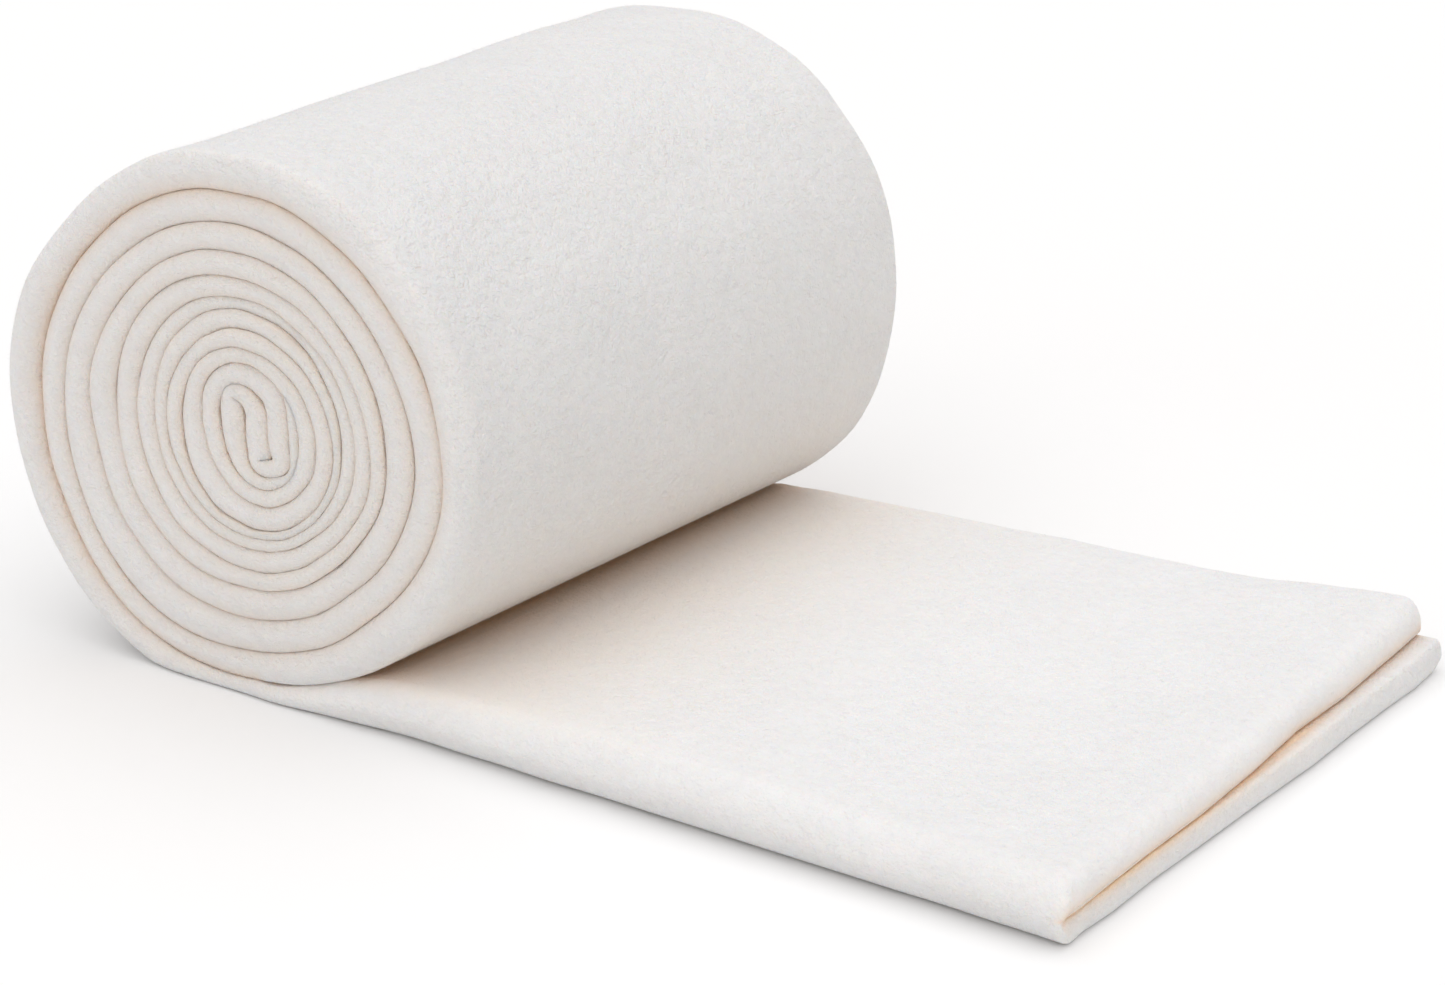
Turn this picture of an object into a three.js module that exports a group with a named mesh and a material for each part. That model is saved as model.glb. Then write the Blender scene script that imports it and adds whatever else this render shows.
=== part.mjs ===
// Roll of quilt batting.
// One length of soft sheet is folded in two along its length and rolled up, with the last of it left flat.
// Millimetres. +X runs along the loose end, +Y from the folded edge to the two open edges, +Z up.
// The origin is on the floor below the roll, at the middle of its width.
import * as THREE from 'three';

// Sheet
const FOLDED_WIDTH = 229;
const LAYER_GAP = 0.6;
const TURN_GAP = 0.6;
const INSIDE_SHARE = 0.3;
const FOLD_FACETS = 4;

// Roll: the turns stand round this point at the folded side, and the roll grows towards its open side
const TURNS_MIDDLE = { x: 7.0, z: 82.9 };
const GROWTH_ACROSS = 0.098;
const GROWTH_UP = 0.11;
const OPEN_SIDE_SHIFT = -9.6;
const STEPS_PER_TURN = 24;
const CORE_STEPS = 3;

// Loose end: how much further it reaches at the open edges, and where it is parted from the roll
const LOOSE_GROWTH = 0.0785;
const ROWS_UNDER_ROLL = 2;
const PIECE_GAP = 0.3;

// Colour of the cloth
const CLOTH = { color: 0xeee7da, roughness: 0.95, metalness: 0 };

// Distance from the middle of the turns to the outside of each turn, in the eight directions in which the
// sheet passes on its way in. A turn's inside is the next one's outside, so the last row only closes it.
const turn = (bottom, lowLeft, left, highLeft, top, highRight, right, lowRight) => (
  [bottom, lowLeft, left, highLeft, top, highRight, right, lowRight]
);
const DIRECTIONS = 8;
const TURNS = [
  turn(82.9, 100.2, 104.0, 88.3, 82.4, 86.6, 87.0, 79.3),
  turn(77.1, 88.9, 88.6, 75.3, 71.4, 74.5, 77.2, 66.8),
  turn(67.9, 80.2, 78.0, 65.5, 62.2, 64.6, 66.4, 57.4),
  turn(57.2, 64.9, 65.5, 56.5, 54.4, 56.5, 56.5, 48.5),
  turn(47.5, 53.5, 53.6, 49.4, 47.0, 49.8, 51.2, 43.6),
  turn(41.6, 44.1, 44.0, 41.6, 41.0, 43.6, 45.0, 37.5),
  turn(34.6, 35.8, 35.7, 35.9, 37.3, 39.5, 39.1, 34.3),
  turn(30.6, 31.0, 30.7, 29.7, 31.8, 34.9, 36.3, 31.7),
  turn(28.1, 26.9, 24.7, 24.7, 26.3, 29.1, 29.2, 24.4),
  turn(21.3, 18.4, 17.7, 19.7, 21.6, 22.3, 21.5, 19.3),
  turn(15.8, 11.1, 10.6, 14.2, 14.8, 12.6, 9.0, 9.0),
];

// Heart of the roll, from the inner end outwards: middle line of the folded sheet and half its thickness.
const CORE = [
  { x: 23.8, z: 93.4, half: 1.2 },
  { x: 25.8, z: 84.0, half: 1.7 },
  { x: 24.2, z: 76.5, half: 1.7 },
  { x: 19.2, z: 71.8, half: 1.6 },
  { x: 11.7, z: 70.3, half: 1.8 },
  { x: 4.1, z: 73.7, half: 2.8 },
  { x: 1.1, z: 80.9, half: 3.7 },
  { x: 1.3, z: 88.6, half: 3.6 },
  { x: 5.5, z: 93.8, half: 3.0 },
  { x: 9.8, z: 90.5, half: 3.6 },
  { x: 10.3, z: 84.9, half: 3.9 },
  { x: 11.4, z: 80.1, half: 3.2 },
  { x: 15.1, z: 77.3, half: 2.1 },
  { x: 18.9, z: 80.5, half: 3.4 },
  { x: 19.4, z: 87.8, half: 4.0 },
  { x: 17.5, z: 95.6, half: 3.5 },
  { x: 11.9, z: 100.5, half: 3.2 },
];

// Loose end, from the roll outwards: height of the upper face along the folded edge, inside it, and
// along the open edges, and how far the two layers stand apart at the open edges.
const LOOSE_END = [
  { x: 15, fold: 5.9, inside: 6.1, open: 6.6, apart: 0.6 },
  { x: 30, fold: 9.3, inside: 9.6, open: 10.1, apart: 0.6 },
  { x: 40, fold: 13.4, inside: 12.6, open: 12.9, apart: 0.6 },
  { x: 55, fold: 16.0, inside: 14.4, open: 15.4, apart: 0.6 },
  { x: 100, fold: 17.4, inside: 15.6, open: 16.6, apart: 0.7 },
  { x: 160, fold: 17.8, inside: 16.0, open: 16.6, apart: 0.8 },
  { x: 215, fold: 18.0, inside: 16.4, open: 17.2, apart: 1.4 },
  { x: 250, fold: 18.0, inside: 16.8, open: 20.2, apart: 3.6 },
  { x: 275, fold: 17.0, inside: 16.6, open: 21.8, apart: 4.8 },
];

// A smooth value a share of the way from the second to the third of four neighbours.
function between(before, start, end, after, share) {
  const rise = (end - before) / 2;
  const fall = (after - start) / 2;
  const squared = share * share;
  const cubed = squared * share;
  const startPart = (2 * cubed - 3 * squared + 1) * start + (cubed - 2 * squared + share) * rise;
  const endPart = (3 * squared - 2 * cubed) * end + (cubed - squared) * fall;
  return startPart + endPart;
}

// The outside distances of all turns, one after another along the winding.
const WINDING = TURNS.flat();

function windingRadius(turns) {
  const place = turns * DIRECTIONS;
  const index = Math.min(Math.floor(place), WINDING.length - 2);
  const before = WINDING[Math.max(index - 1, 0)];
  const after = WINDING[Math.min(index + 2, WINDING.length - 1)];
  return between(before, WINDING[index], WINDING[index + 1], after, place - index);
}

function roundPoint(turns, radius) {
  const angle = 2 * Math.PI * turns;
  return {
    x: TURNS_MIDDLE.x - radius * Math.sin(angle),
    z: Math.max(TURNS_MIDDLE.z - radius * Math.cos(angle), 0),
  };
}

// A point of the roll carried from the folded side across a share of the width.
function rollPoint(point, share) {
  return {
    x: point.x * (1 + GROWTH_ACROSS * share) + OPEN_SIDE_SHIFT * share,
    z: point.z * (1 + GROWTH_UP * share),
  };
}

// Each section gives the sheet's outer and inner face at the fold, inside it and at the open edges.
function rollSection(outer, inner) {
  const carry = (share) => (
    { outer: rollPoint(outer, share), inner: rollPoint(inner, share), apart: LAYER_GAP }
  );
  return { fold: carry(0), inside: carry(INSIDE_SHARE), open: carry(1) };
}

function coreSections() {
  const sections = [];
  const last = CORE.length - 1;
  for (let row = 0; row < last; row += 1) {
    const near = [row - 1, row, row + 1, row + 2].map((n) => CORE[Math.min(Math.max(n, 0), last)]);
    const at = (name, share) => between(...near.map((point) => point[name]), share);
    for (let step = 0; step < CORE_STEPS; step += 1) {
      const share = step / CORE_STEPS;
      const alongX = at('x', share + 0.05) - at('x', share - 0.05);
      const alongZ = at('z', share + 0.05) - at('z', share - 0.05);
      const offset = at('half', share) / Math.hypot(alongX, alongZ);
      const x = at('x', share);
      const z = at('z', share);
      const outer = { x: x + alongZ * offset, z: z - alongX * offset };
      const inner = { x: x - alongZ * offset, z: z + alongX * offset };
      sections.push(rollSection(outer, inner));
    }
  }
  return sections;
}

function turnSections() {
  const sections = [];
  const innermost = TURNS.length - 1.5;
  for (let step = 0; step <= innermost * STEPS_PER_TURN; step += 1) {
    const turns = innermost - step / STEPS_PER_TURN;
    const clear = turns < 1 ? 0 : TURN_GAP / 2;
    const outer = roundPoint(turns, windingRadius(turns) - clear);
    const inner = roundPoint(turns, windingRadius(turns + 1) + TURN_GAP / 2);
    sections.push(rollSection(outer, inner));
  }
  return sections;
}

function looseSection(row) {
  const flat = (share, top, apart) => {
    const x = row.x * (1 + LOOSE_GROWTH * share) + OPEN_SIDE_SHIFT * share;
    return { outer: { x, z: 0 }, inner: { x, z: top }, apart };
  };
  return {
    fold: flat(0, row.fold, LAYER_GAP),
    inside: flat(INSIDE_SHARE, row.inside, LAYER_GAP),
    open: flat(1, row.open, row.apart),
  };
}

function thickness(station) {
  return Math.hypot(station.outer.x - station.inner.x, station.outer.z - station.inner.z);
}

// The folded sheet cut across: round the outside of the fold, then back along the slit between the layers.
function sectionLoop(section) {
  const { fold, inside, open } = section;
  const half = thickness(fold) / 2;
  const insideY = FOLDED_WIDTH * INSIDE_SHARE;
  const points = [];
  const add = (station, share, y) => {
    const x = station.outer.x + (station.inner.x - station.outer.x) * share;
    const z = station.outer.z + (station.inner.z - station.outer.z) * share;
    points.push([x, y - FOLDED_WIDTH / 2, z]);
  };
  const slit = (station, way) => 0.5 + (way * station.apart) / 2 / thickness(station);
  add(open, 0, FOLDED_WIDTH);
  add(inside, 0, insideY);
  for (let corner = 0; corner <= FOLD_FACETS; corner += 1) {
    const angle = (Math.PI * corner) / FOLD_FACETS;
    add(fold, 0.5 - 0.5 * Math.cos(angle), half - half * Math.sin(angle));
  }
  add(inside, 1, insideY);
  add(open, 1, FOLDED_WIDTH);
  add(open, slit(open, 1), FOLDED_WIDTH);
  add(inside, slit(inside, 1), insideY);
  add(fold, slit(fold, 1), half);
  add(fold, 0.5, half - fold.apart / 2);
  add(fold, slit(fold, -1), half);
  add(inside, slit(inside, -1), insideY);
  add(open, slit(open, -1), FOLDED_WIDTH);
  return points;
}

// The cut ends of the sheet, as triangles between the outside of the section and its slit.
const END_FACE = [
  [0, 1, 14], [0, 14, 15], [1, 2, 13], [1, 13, 14], [2, 3, 13], [3, 4, 12], [3, 12, 13],
  [4, 5, 12], [5, 6, 11], [5, 11, 12], [6, 7, 10], [6, 10, 11], [7, 8, 9], [7, 9, 10],
];

function sweptSheet(sections) {
  const loops = sections.map(sectionLoop);
  const size = loops[0].length;
  const corners = [];
  const face = (a, b, c) => corners.push(...a, ...b, ...c);
  for (let row = 0; row < loops.length - 1; row += 1) {
    const here = loops[row];
    const there = loops[row + 1];
    for (let n = 0; n < size; n += 1) {
      const next = (n + 1) % size;
      face(here[n], there[next], here[next]);
      face(here[n], there[n], there[next]);
    }
  }
  const first = loops[0];
  const last = loops[loops.length - 1];
  for (const [a, b, c] of END_FACE) {
    face(first[a], first[b], first[c]);
    face(last[a], last[c], last[b]);
  }
  const geometry = new THREE.BufferGeometry();
  geometry.setAttribute('position', new THREE.Float32BufferAttribute(corners, 3));
  geometry.computeVertexNormals();
  return geometry;
}

// The sheet is cut where it leaves the roll, so that the roll and the loose end are two simple forms.
const underRoll = LOOSE_END.slice(0, ROWS_UNDER_ROLL);
const beyondRoll = LOOSE_END.slice(ROWS_UNDER_ROLL);
const cut = underRoll[ROWS_UNDER_ROLL - 1];
const afterCut = { ...cut, x: cut.x + PIECE_GAP };

const group = new THREE.Group();
group.name = 'quilt_batting_roll';

function addCloth(name, sections) {
  const mesh = new THREE.Mesh(sweptSheet(sections), new THREE.MeshStandardMaterial(CLOTH));
  mesh.name = name;
  group.add(mesh);
}

addCloth('wound_roll', [...coreSections(), ...turnSections(), ...underRoll.map(looseSection)]);
addCloth('loose_end', [afterCut, ...beyondRoll].map(looseSection));

export default group;
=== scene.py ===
"""Roll of quilt batting: one length of felt, folded in two, rolled up, and laid flat where it ends."""

import math
from collections import namedtuple

import bpy
import numpy as np
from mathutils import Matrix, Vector, noise


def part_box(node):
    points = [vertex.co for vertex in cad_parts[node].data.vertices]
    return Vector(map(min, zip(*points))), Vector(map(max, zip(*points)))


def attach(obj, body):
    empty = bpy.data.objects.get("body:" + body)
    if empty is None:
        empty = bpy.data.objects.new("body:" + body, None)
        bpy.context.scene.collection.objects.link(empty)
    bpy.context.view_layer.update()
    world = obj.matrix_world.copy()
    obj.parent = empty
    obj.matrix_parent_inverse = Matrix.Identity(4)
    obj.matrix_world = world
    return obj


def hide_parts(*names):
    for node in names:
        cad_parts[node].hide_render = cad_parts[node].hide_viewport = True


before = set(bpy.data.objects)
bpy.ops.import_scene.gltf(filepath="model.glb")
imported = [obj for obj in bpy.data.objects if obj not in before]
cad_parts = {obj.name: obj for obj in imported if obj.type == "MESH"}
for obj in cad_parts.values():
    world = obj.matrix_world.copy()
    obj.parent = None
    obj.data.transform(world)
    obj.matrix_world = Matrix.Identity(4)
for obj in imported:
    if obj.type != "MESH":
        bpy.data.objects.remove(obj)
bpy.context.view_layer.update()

bl_info = {
    "name": "Quilt Batting Roll",
    "version": (1, 0, 0),
    "blender": (4, 5, 0),
    "location": "View3D > Sidebar > Batting",
    "description": "Models a folded and rolled length of quilt batting in a studio",
    "category": "Object",
}

# Tables and shape functions are in millimetres, and the finished meshes in metres.
MM = 0.001
ROLL_NODE = "wound_roll"
LOOSE_NODE = "loose_end"
ROLL_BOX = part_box(ROLL_NODE)
FOLDED_WIDTH = (ROLL_BOX[1][1] - ROLL_BOX[0][1]) / MM
FOLD_SIDE = ROLL_BOX[0][1] / MM

# Roll: the turns stand round this point at the folded side, and the roll grows towards its open side.
TURNS_MIDDLE = (7.0, 82.9)
GROWTH_ACROSS = 0.105
GROWTH_UP = 0.112
OPEN_SIDE_SHIFT = -9.6

# At its open side the roll also bulges towards the loose end: how far, at which turn, over what stretch.
OPEN_BULGE = 4.5
BULGE_TURN = 0.86
BULGE_SPREAD = 0.075

# Distance from the middle of the turns to the outside of each turn, in the eight directions in which the
# sheet passes on its way in. A turn's inside is the next one's outside, so the last row only closes it.
Turn = namedtuple("Turn", "bottom low_left left high_left top high_right right low_right")
TURNS = [
    Turn(82.9, 100.2, 103.2, 87.2, 82.3, 86.6, 87.0, 79.9),
    Turn(77.1, 88.9, 88.6, 75.3, 71.4, 74.5, 77.2, 66.8),
    Turn(67.9, 80.2, 78.0, 65.5, 62.2, 64.6, 66.4, 57.4),
    Turn(57.2, 64.9, 65.5, 56.5, 54.4, 56.5, 56.5, 48.5),
    Turn(47.5, 53.5, 53.6, 49.4, 47.0, 49.8, 51.2, 43.6),
    Turn(41.6, 44.1, 44.0, 41.6, 41.0, 43.6, 45.0, 37.5),
    Turn(34.6, 35.8, 35.7, 35.9, 37.3, 39.5, 39.1, 34.3),
    Turn(30.6, 31.0, 30.7, 29.7, 31.8, 34.9, 36.3, 31.7),
    Turn(28.1, 26.9, 24.7, 24.7, 26.3, 29.1, 30.0, 24.5),
    Turn(19.6, 15.8, 15.5, 18.9, 21.9, 23.5, 22.9, 19.4),
    Turn(13.5, 9.5, 8.2, 11.7, 15.3, 14.1, 9.0, 9.0),
]
DIRECTIONS = len(Turn._fields)
WINDING = [radius for turn in TURNS for radius in turn]
INNERMOST = len(TURNS) - 1.5
WAVER = 0.35
WAVES_PER_TURN = 21.0

# How far each turn's folded edge stands back from the end of the roll, in the same eight directions.
FOLD_RECESS = [
    Turn(0.3, 0.3, 0.0, 0.2, 0.4, 0.4, 0.3, 0.3),
    Turn(0.8, 1.6, 1.8, 1.4, 1.0, 0.8, 0.7, 0.6),
    Turn(0.6, 0.9, 1.1, 0.9, 0.7, 0.6, 0.5, 0.5),
    Turn(0.5, 0.7, 0.8, 0.8, 0.6, 0.5, 0.5, 0.5),
    Turn(0.5, 0.6, 0.8, 1.0, 1.3, 1.4, 0.9, 0.6),
    Turn(0.5, 0.6, 0.9, 1.5, 2.2, 2.4, 1.8, 0.9),
    Turn(0.6, 0.7, 0.8, 1.0, 1.3, 1.5, 1.6, 1.2),
    Turn(0.9, 0.9, 0.8, 0.7, 0.7, 0.8, 0.9, 0.9),
    Turn(0.7, 0.7, 0.7, 0.8, 0.8, 0.9, 0.9, 0.9),
    Turn(0.7, 0.8, 0.8, 0.8, 0.8, 0.9, 1.0, 1.0),
    Turn(1.0, 1.0, 1.0, 1.0, 1.0, 1.0, 1.0, 1.0),
]
RECESSES = [recess for turn in FOLD_RECESS for recess in turn]

# How much deeper than the other folds the outermost turn's is rounded on its outside, and the loose end's
# fold below and above.
OUTSIDE_ROUNDING = Turn(1.8, 1.3, 1.2, 1.1, 1.0, 1.5, 2.6, 2.8)
LOOSE_FOLD_ROUNDING = (1.9, 2.5)

# How much deeper the outermost turn's fold is rounded on its inside, at which turn and over what stretch.
INNER_ROUND_MORE = 0.9
INNER_ROUND_TURN = 0.27
INNER_ROUND_SPREAD = 0.2

# Heart of the roll, from the inner end outwards: middle line of the folded sheet, half its thickness, and
# how far its folded edge stands back.
Core = namedtuple("Core", "x z half recess")
CORE = [
    Core(25.9, 97.9, 0.6, 1.6),
    Core(27.2, 94.9, 1.3, 1.4),
    Core(28.0, 91.8, 1.9, 1.2),
    Core(28.1, 88.0, 2.0, 1.2),
    Core(28.0, 84.0, 1.9, 1.3),
    Core(27.9, 79.6, 1.7, 1.4),
    Core(27.1, 75.6, 1.3, 1.6),
    Core(24.5, 72.7, 1.3, 1.6),
    Core(21.2, 71.2, 1.6, 1.4),
    Core(17.9, 70.0, 1.8, 1.3),
    Core(14.8, 69.6, 1.9, 1.2),
    Core(11.2, 70.1, 2.1, 1.2),
    Core(8.2, 71.6, 2.6, 1.2),
    Core(5.7, 74.5, 3.4, 1.2),
    Core(3.9, 78.7, 4.1, 1.2),
    Core(3.3, 82.8, 4.4, 1.1),
    Core(3.3, 87.0, 4.6, 1.0),
    Core(3.2, 91.2, 4.3, 1.0),
    Core(3.9, 95.2, 2.7, 1.1),
    Core(7.8, 95.5, 2.8, 1.1),
    Core(10.9, 93.6, 3.3, 1.0),
    Core(13.0, 89.8, 4.3, 1.0),
    Core(12.9, 86.3, 4.6, 1.0),
    Core(12.7, 82.9, 4.8, 1.1),
    Core(13.0, 79.4, 4.9, 1.2),
    Core(12.8, 75.6, 3.5, 1.3),
    Core(16.6, 74.2, 2.7, 1.4),
    Core(20.4, 75.2, 2.8, 1.4),
    Core(22.4, 77.8, 3.7, 1.2),
    Core(22.2, 81.0, 4.1, 1.1),
    Core(21.8, 84.6, 4.3, 1.0),
    Core(21.8, 88.2, 4.2, 1.0),
    Core(21.6, 92.2, 4.3, 1.0),
    Core(20.0, 96.6, 4.7, 1.0),
    Core(16.4, 99.2, 4.3, 1.0),
    Core(12.0, 101.0, 3.6, 1.0),
]
CORE_STEPS = 4

# Loose end, from below the roll outwards: height of the upper face along the folded edge, inside it, and
# along the open edges, and how far the two layers stand apart at the open edges.
Loose = namedtuple("Loose", "x fold inside open apart")
LOOSE_END = [
    Loose(7, 5.7, 5.7, 6.3, 0.6),
    Loose(15, 5.9, 6.1, 6.6, 0.6),
    Loose(30, 9.3, 9.6, 10.1, 0.6),
    Loose(40, 13.1, 12.4, 12.9, 0.6),
    Loose(55, 16.0, 14.4, 16.2, 0.6),
    Loose(100, 17.4, 15.6, 17.6, 0.6),
    Loose(160, 17.8, 16.0, 17.8, 0.5),
    Loose(215, 18.0, 16.4, 18.8, 0.4),
    Loose(250, 18.0, 16.8, 22.0, 0.4),
    Loose(275, 17.0, 16.6, 23.6, 0.7),
]
LOOSE_GROWTH = 0.0785
INSIDE_SHARE = 0.3
LOOSE_LAYER_GAP = 0.35

# Painted warm shade, where 1 is as deep as in a crease: faint all over the folded side of the roll.
END_SHADE = 0.03

# At the nip, where the roll meets the loose end, the painted shade is deeper. It fades over a length on
# both sides, and a lighter painted glow, standing in for light bounced into the nip, reaches further.
NIP_X = 45.0
NIP_TURN = 0.95
NIP_SHADE = 1.3
NIP_REACH = 21.0
NIP_FOLD_SHARE = 0.3
GLOW_REACH = 68.0
OUTER_RADIUS = 80.0

# A broad, light band of painted warm shade also lies inside the outermost turn on its left: its turn, and
# how far it reaches round the roll and from the crease.
BROAD_SHADE = 0.45
BROAD_TURN = 0.32
BROAD_SPREAD = 0.13
BROAD_DEPTH = 4.5

# The painted shade is paler in the crease over the roll's foot and in the creases from the second turn
# inwards.
FOOT_SPREAD = 0.13
FOOT_PALER = 0.6
INNER_CREASE = 0.6

# At the cut end the painted shade fades with depth into the slit and over the lip. At the open side it
# fades with the drop of the rounded edge.
CUT_SHADE = 1.2
CUT_SHADE_DEPTH = 1.9
LIP_SHADE = 0.9
LIP_SHADE_DEPTH = 2.6
OPEN_CREASE = 0.5

# How rough the loose end's pressed top is, where the roll's outside is 1.
LOOSE_NAP = 0.45

# Unevenness of the cloth: how long its waves are along their line, how wide across it, how high, and where
# in the noise they are taken.
Wave = namedtuple("Wave", "length width height seed")
OPEN_RIPPLE = Wave(38.0, 1.0, 0.9, 11.0)
FINE_RIPPLE = Wave(11.0, 1.0, 0.35, 12.0)
FOLD_RIPPLE = Wave(24.0, 1.0, 0.45, 3.0)
BROAD_SWELL = Wave(62.0, 70.0, 1.0, 21.0)
SMALL_SWELL = Wave(21.0, 24.0, 0.45, 22.0)
UPPER_SCALLOP = Wave(13.0, 1.0, 1.1, 31.0)
LOWER_SCALLOP = Wave(16.0, 1.0, 1.1, 32.0)
UPPER_FRAY = Wave(3.8, 1.0, 0.605, 33.0)
LOWER_FRAY = Wave(4.6, 1.0, 0.605, 34.0)
RIPPLE_SHIFT = 7.3
FINE_RIPPLE_SHIFT = 3.1

# How far each open edge and the fold stand back.
OPEN_EDGE_BACK = 1.5
FOLD_BACK = 0.4

# In halves of the folded thickness: how deep an open edge is rounded, how far in from the fold the slit
# ends, and how much less that is at the cut end.
OPEN_EDGE_ROUNDING = 0.55
SLIT_END = 0.8
SLIT_LONGER_AT_CUT = 0.45

# How round the slit's end is, and how many times wider it is at the roll's open side than at the fold.
SLIT_END_ROUNDING = 0.4
OPEN_SPREAD = 2.5

# Steps along the sheet: each one is this long on the outer turns, and shorter further in.
LONGEST_STEP = 5.0
SHORTEST_STEP = 2.2
STEP_PER_RADIUS = 0.075
LOOSE_STEP = 4.0

# Stations across the sheet, on each layer from its open edge to the fold, then round the fold.
EDGE_STEPS = (0.0, 0.06, 0.2, 0.45, 0.75)
LEG_SHARES = [0.0, 0.07, 0.16, 0.27, 0.4, 0.54, 0.68, 0.81, 0.91, 0.97]
FOLD_STEPS = 16
CUT_STEPS = (0.0, 0.012, 0.04, 0.09, 0.17, 0.28, 0.43, 0.62, 0.85)
ROUNDING_SQUARENESS = 2.1
THINNEST_EDGE = 0.04
INNER_END_STEPS = (0.1, 0.4, 0.8)

# How far each layer is rounded at the cut end, on its outside and in the slit, and where in its thickness
# the two meet.
UPPER_ROUNDING = (6.5, 0.8)
LOWER_ROUNDING = (2.1, 1.2)
UPPER_PIVOT = 0.86
LOWER_PIVOT = 0.42
CUT_RADIUS = max(UPPER_ROUNDING + LOWER_ROUNDING)

# Cut end: how much further the lower layer reaches at the open side, the radii of the far and near
# corners, and how far its shape fades out along the loose end.
LOWER_REACH = 6.5
CORNER_RADIUS = 9.0
NEAR_CORNER = 5.0
CUT_FADE = 34.0

# Fibre ends: how deep they are rooted, and the corners of their three-sided foot.
FIBRE_ROOT = 0.15
FIBRE_ANGLES = [math.radians(90), math.radians(210), math.radians(330)]
FIBRE_FACES = ((0, 1, 3), (1, 2, 3), (2, 0, 3), (2, 1, 0))

# Felt: the sizes of its nubs, fibres and mottling and the height of the nubs, in metres, how dark the
# mottling is, and the painted shade at which a crease's edge shade colour is full.
NUB_SIZE = 0.0036
FIBRE_SIZE = 0.0008
CLOUD_SIZE = 0.03
NUB_HEIGHT = 0.0009
MOTTLE_DARKER = 0.94
CREASE_EDGE_SHADE = 0.45

# Studio, in metres: the photograph's camera, and the point at which it looks.
CAMERA_PLACE = (0.4883, -0.56215, 0.28195)
CAMERA_TARGET = (0.10229, -0.0045, 0.05397)
FLOOR_DROP = 0.0002
LOW_LIGHT_SOFTNESS = math.radians(60)
COOL_LIGHT = (0.97, 0.98, 1.0)
MILD_LIGHT = (1.0, 0.97, 0.94)
WARM_LIGHT = (1.0, 0.87, 0.73)
SKY_LIGHT = (1.0, 0.96, 0.925)
FLOOR_WHITE = 0.9


def between(before, start, end, after, share):
    """A smooth value a share of the way from the second to the third of four neighbours."""
    rise = (end - before) / 2
    fall = (after - start) / 2
    squared = share * share
    cubed = squared * share
    start_part = (2 * cubed - 3 * squared + 1) * start + (cubed - 2 * squared + share) * rise
    end_part = (3 * squared - 2 * cubed) * end + (cubed - squared) * fall
    return start_part + end_part


def along_table(values, place):
    """A smooth value at a place counted in entries of a list."""
    index = min(max(int(math.floor(place)), 0), len(values) - 2)
    before = values[max(index - 1, 0)]
    after = values[min(index + 2, len(values) - 1)]
    return between(before, values[index], values[index + 1], after, place - index)


def smooth(share):
    """A soft rise from 0 to 1."""
    share = np.clip(share, 0, 1)
    return share * share * (3 - 2 * share)


def rounded(step):
    """How thick a layer still is near its edge, from a thin lip (0) to its whole thickness (1)."""
    power = ROUNDING_SQUARENESS
    return max((1 - (1 - step) ** power) ** (1 / power), THINNEST_EDGE)


def unevenness(first, second, seed):
    """Smooth, repeatable unevenness between about -1 and 1."""
    return noise.noise(Vector((first, second, seed))) * 1.6


def waves(wave, along, across=0.0):
    """The unevenness of one kind of wave at places along and across its line."""
    first, second = np.broadcast_arrays(along / wave.length, across / wave.width)
    values = [unevenness(a, b, wave.seed) for a, b in zip(first.ravel(), second.ravel())]
    return np.array(values).reshape(first.shape) * wave.height


def round_point(turns, radius):
    """A point at a distance from the middle of the turns."""
    angle = 2 * math.pi * turns
    x = TURNS_MIDDLE[0] - radius * math.sin(angle)
    return x, max(TURNS_MIDDLE[1] - radius * math.cos(angle), 0.0)


def wound_radius(turns):
    """Distance from the middle of the turns to the outside of the sheet, with a slight waver."""
    waver = WAVER * unevenness(turns * WAVES_PER_TURN, 0.0, 41.0)
    waver = waver * min(max(INNERMOST + 0.9 - turns, 0), 1)
    return along_table(WINDING, turns * DIRECTIONS) + waver * smooth(turns * 8)


# One cut across the folded sheet: its outer and inner face at the folded and the open side, the sag of the
# inner face between them, the gap between its layers there, the recess of its fold, and its turn.
Section = namedtuple("Section", "outer inner outer_open inner_open sag apart apart_open recess turns")


def roll_section(outer, inner, recess, turns, apart):
    """A section of the roll, carried from the folded side to the open one."""
    apart_turn = (turns - BULGE_TURN + 0.5) % 1 - 0.5
    bulge = OPEN_BULGE * math.exp(-(apart_turn / BULGE_SPREAD) ** 2) / TURNS[0].low_right

    def carried(point):
        x = point[0] * (1 + GROWTH_ACROSS) + OPEN_SIDE_SHIFT + (point[0] - TURNS_MIDDLE[0]) * bulge
        return x, point[1] * (1 + GROWTH_UP) + (point[1] - TURNS_MIDDLE[1]) * bulge

    apart_open = apart * OPEN_SPREAD
    return Section(outer, inner, carried(outer), carried(inner), 0.0, apart, apart_open, recess, turns)


def core_sections(apart):
    """The heart of the roll, along the middle line of the folded sheet."""
    start = round_point(INNERMOST, wound_radius(INNERMOST))
    end = round_point(INNERMOST, wound_radius(INNERMOST + 1))
    half = math.dist(start, end) / 2
    joined = Core((start[0] + end[0]) / 2, (start[1] + end[1]) / 2, half, CORE[-1].recess)
    rows = CORE + [joined]
    columns = dict(zip(Core._fields, zip(*rows)))
    sections = []
    for step in range((len(rows) - 1) * CORE_STEPS):
        place = step / CORE_STEPS
        x, z, width, recess = (along_table(columns[name], place) for name in Core._fields)
        before, after = place - 0.05, place + 0.05
        along_x = along_table(columns["x"], after) - along_table(columns["x"], before)
        along_z = along_table(columns["z"], after) - along_table(columns["z"], before)
        offset = width / math.hypot(along_x, along_z)
        outer = (x + along_z * offset, z - along_x * offset)
        inner = (x - along_z * offset, z + along_x * offset)
        turns = INNERMOST + 1 - place / len(rows)
        sections.append(roll_section(outer, inner, recess, turns, apart))
    return sections


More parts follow.
